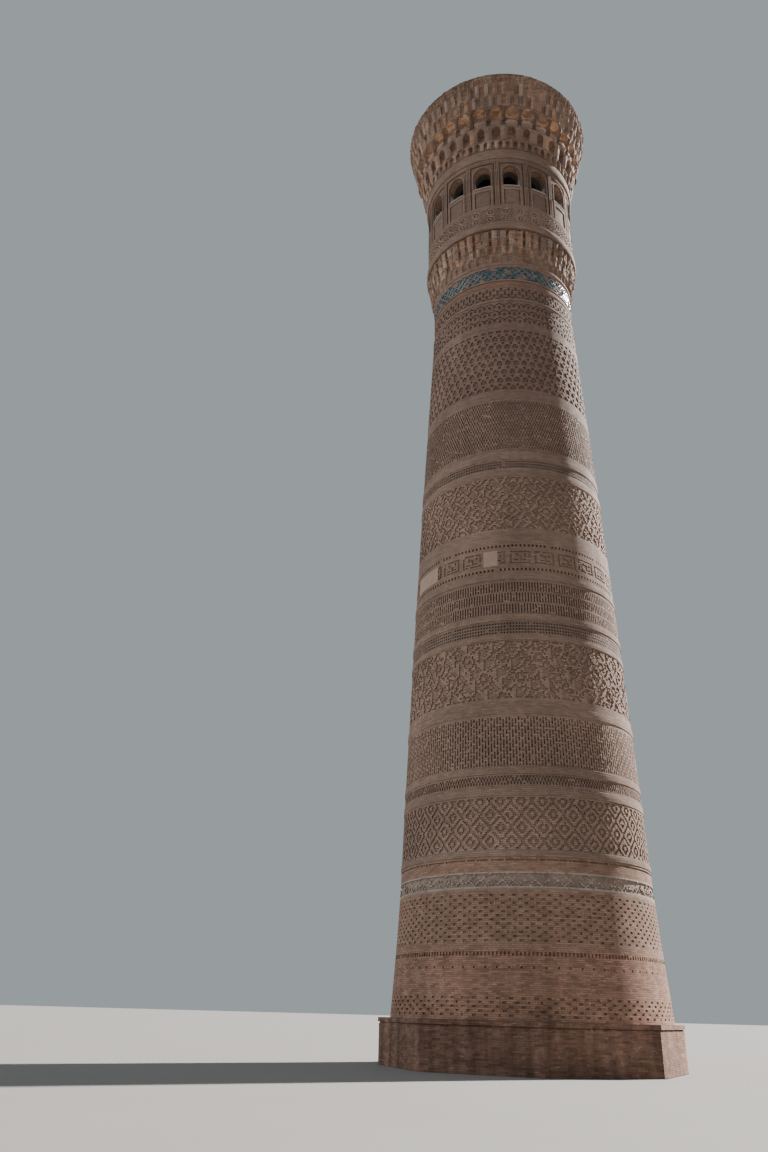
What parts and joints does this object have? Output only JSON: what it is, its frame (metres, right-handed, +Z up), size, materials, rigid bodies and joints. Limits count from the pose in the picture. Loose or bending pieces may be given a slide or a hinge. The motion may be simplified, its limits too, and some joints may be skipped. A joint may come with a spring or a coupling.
{
  "type": "brick minaret, a 1:2 scale model",
  "caption": "Round tapering brick minaret on an octagonal plinth, ringed with raised brick patterns and a glazed band, with stalactite cornices and an arched gallery.",
  "frame": {"origin": "centre of the plinth's underside", "axes": "+Z up along the tower's axis; a gallery window on each of +X, -X, +Y and -Y"},
  "size_m": [5.4094, 5.4094, 22.8],
  "materials": {
    "brick": "matt fired brick laid in lime mortar",
    "worn_brick": "weathered and patched fired brick",
    "plaster": "worn whitish gypsum plaster on brick",
    "glazed_tile": "turquoise glazed tile, partly lost",
    "paving_brick": "matt brick paving"
  },
  "bodies": {
    "root": {"plinth": "worn_brick", "shaft_foot": "worn_brick", "shaft_dotted_band": "brick", "shaft_plaster_band": "plaster", "shaft_lozenge_band": "brick", "shaft_herringbone_band": "brick", "shaft_meander_band": "brick", "shaft_ribbed_band": "brick", "shaft_panel_band": "brick", "shaft_fret_band": "brick", "shaft_fine_grid_band": "brick", "shaft_houndstooth_band": "brick", "shaft_knot_band": "brick", "shaft_tile_band": "glazed_tile", "lower_cornice_first_tier": "brick", "lower_cornice_second_tier": "brick", "gallery_foot_moulding": "brick", "gallery_base": "brick", "gallery_floor": "paving_brick", "gallery_parapet": "brick", "gallery_pier_01": "brick", "gallery_pier_02": "brick", "gallery_pier_03": "brick", "gallery_pier_04": "brick", "gallery_pier_05": "brick", "gallery_pier_06": "brick", "gallery_pier_07": "brick", "gallery_pier_08": "brick", "gallery_pier_09": "brick", "gallery_pier_10": "brick", "gallery_pier_11": "brick", "gallery_pier_12": "brick", "gallery_pier_13": "brick", "gallery_pier_14": "brick", "gallery_pier_15": "brick", "gallery_pier_16": "brick", "gallery_arcade": "brick", "crown_moulding": "brick", "crown_first_tier": "brick", "crown_second_tier": "brick", "crown_third_tier": "brick", "crown_fourth_tier": "brick", "crown_rim": "brick", "roof": "paving_brick"}
  },
  "joints": []
}
